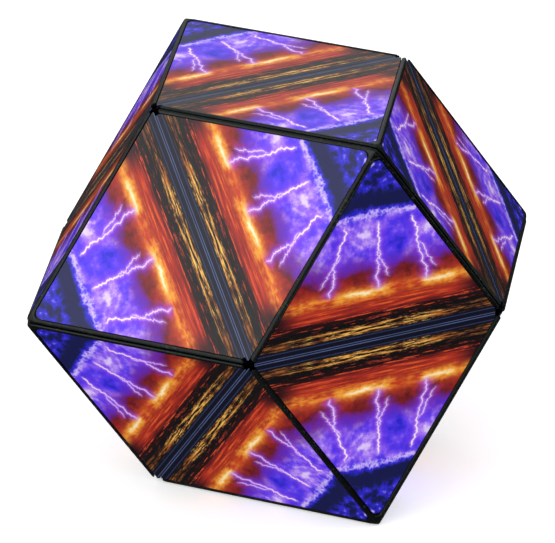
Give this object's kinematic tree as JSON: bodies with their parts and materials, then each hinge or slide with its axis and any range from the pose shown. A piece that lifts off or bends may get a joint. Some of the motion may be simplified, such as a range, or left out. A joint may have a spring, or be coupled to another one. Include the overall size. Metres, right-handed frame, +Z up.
{
  "type": "folding geometric puzzle",
  "caption": "Ring of hinged tetrahedral modules with printed storm-sky films, magnetically held in a rhombic dodecahedron and folding into a cube.",
  "frame": {"origin": "middle of the rhombic face that the puzzle rests on, at that face's height", "axes": "+X along the longest extent, between two opposite four-edged tips; +Z up, square to the resting face; +Y completes the right-handed frame, towards the back"},
  "size_m": [0.1122, 0.0804, 0.0803],
  "materials": {
    "shell_plastic": "fine-grained semi-gloss black moulded plastic",
    "cap_plastic": "satin black moulded plastic",
    "magnet_metal": "nickel-plated",
    "printed_film": "glossy film printed with an orange and violet storm sky"
  },
  "bodies": {
    "module_01": {"shell_01": "shell_plastic", "base_cap_01": "cap_plastic", "magnet_carrier_01": "magnet_metal", "film_01_prev": "printed_film", "film_01_next": "printed_film"},
    "module_02": {"shell_02": "shell_plastic", "base_cap_02": "cap_plastic", "magnet_carrier_02": "magnet_metal", "film_02_prev": "printed_film", "film_02_next": "printed_film"},
    "module_03": {"shell_03": "shell_plastic", "base_cap_03": "cap_plastic", "magnet_carrier_03": "magnet_metal", "film_03_prev": "printed_film", "film_03_next": "printed_film"},
    "module_04": {"shell_04": "shell_plastic", "base_cap_04": "cap_plastic", "magnet_carrier_04": "magnet_metal", "film_04_prev": "printed_film", "film_04_next": "printed_film"},
    "module_05": {"shell_05": "shell_plastic", "base_cap_05": "cap_plastic", "magnet_carrier_05": "magnet_metal", "film_05_prev": "printed_film", "film_05_next": "printed_film"},
    "module_06": {"shell_06": "shell_plastic", "base_cap_06": "cap_plastic", "magnet_carrier_06": "magnet_metal", "film_06_prev": "printed_film", "film_06_next": "printed_film"},
    "module_07": {"shell_07": "shell_plastic", "base_cap_07": "cap_plastic", "magnet_carrier_07": "magnet_metal", "film_07_prev": "printed_film", "film_07_next": "printed_film"},
    "module_08": {"shell_08": "shell_plastic", "base_cap_08": "cap_plastic", "magnet_carrier_08": "magnet_metal", "film_08_prev": "printed_film", "film_08_next": "printed_film"},
    "module_09": {"shell_09": "shell_plastic", "base_cap_09": "cap_plastic", "magnet_carrier_09": "magnet_metal", "film_09_prev": "printed_film", "film_09_next": "printed_film"},
    "module_10": {"shell_10": "shell_plastic", "base_cap_10": "cap_plastic", "magnet_carrier_10": "magnet_metal", "film_10_prev": "printed_film", "film_10_next": "printed_film"},
    "module_11": {"shell_11": "shell_plastic", "base_cap_11": "cap_plastic", "magnet_carrier_11": "magnet_metal", "film_11_prev": "printed_film", "film_11_next": "printed_film"},
    "module_12": {"shell_12": "shell_plastic", "base_cap_12": "cap_plastic", "magnet_carrier_12": "magnet_metal", "film_12_prev": "printed_film", "film_12_next": "printed_film"}
  },
  "joints": [
    {"name": "hinge_01_02", "type": "hinge", "parent": "module_02", "child": "module_01", "pos_m": [-0.0285, -0.02015, 0.06031], "axis": [0, 0.7071, 0.7071], "range_deg": [0, 179.5]},
    {"name": "hinge_02_03", "type": "hinge", "parent": "module_03", "child": "module_02", "pos_m": [0, -0.04031, 0.04016], "axis": [1, 0, 0], "range_deg": [0, 179.5]},
    {"name": "hinge_03_04", "type": "hinge", "parent": "module_04", "child": "module_03", "pos_m": [-0.0285, -0.02015, 0.02], "axis": [0, 0.7071, -0.7071], "range_deg": [0, 179.5]},
    {"name": "hinge_04_05", "type": "hinge", "parent": "module_05", "child": "module_04", "pos_m": [-0.0285, 0.02015, 0.02], "axis": [0, -0.7071, -0.7071], "range_deg": [0, 179.5]},
    {"name": "hinge_05_06", "type": "hinge", "parent": "module_06", "child": "module_05", "pos_m": [0, 0, -0.00015], "axis": [-1, 0, 0], "range_deg": [0, 179.5]},
    {"name": "hinge_06_07", "type": "hinge", "parent": "module_06", "child": "module_07", "pos_m": [0.0285, -0.02015, 0.02], "axis": [0, 0.7071, -0.7071], "range_deg": [0, 179.5]},
    {"name": "hinge_07_08", "type": "hinge", "parent": "module_07", "child": "module_08", "pos_m": [0.0285, 0.02015, 0.02], "axis": [0, -0.7071, -0.7071], "range_deg": [0, 179.5]},
    {"name": "hinge_08_09", "type": "hinge", "parent": "module_08", "child": "module_09", "pos_m": [0, 0.04031, 0.04016], "axis": [-1, 0, 0], "range_deg": [0, 179.5]},
    {"name": "hinge_09_10", "type": "hinge", "parent": "module_09", "child": "module_10", "pos_m": [0.0285, 0.02015, 0.06031], "axis": [0, -0.7071, 0.7071], "range_deg": [0, 179.5]},
    {"name": "hinge_10_11", "type": "hinge", "parent": "module_10", "child": "module_11", "pos_m": [0.0285, -0.02015, 0.06031], "axis": [0, 0.7071, 0.7071], "range_deg": [0, 179.5]},
    {"name": "hinge_11_12", "type": "hinge", "parent": "module_11", "child": "module_12", "pos_m": [0, 0, 0.08046], "axis": [1, 0, 0], "range_deg": [0, 179.5]}
  ],
  "couplings": [
    {"joint": "hinge_01_02", "follows": "hinge_06_07", "ratio": 1},
    {"joint": "hinge_02_03", "follows": "hinge_06_07", "ratio": 1},
    {"joint": "hinge_03_04", "follows": "hinge_06_07", "ratio": 1},
    {"joint": "hinge_04_05", "follows": "hinge_06_07", "ratio": 1},
    {"joint": "hinge_05_06", "follows": "hinge_06_07", "ratio": 1},
    {"joint": "hinge_07_08", "follows": "hinge_06_07", "ratio": 1},
    {"joint": "hinge_08_09", "follows": "hinge_06_07", "ratio": 1},
    {"joint": "hinge_09_10", "follows": "hinge_06_07", "ratio": 1},
    {"joint": "hinge_10_11", "follows": "hinge_06_07", "ratio": 1},
    {"joint": "hinge_11_12", "follows": "hinge_06_07", "ratio": 1}
  ]
}
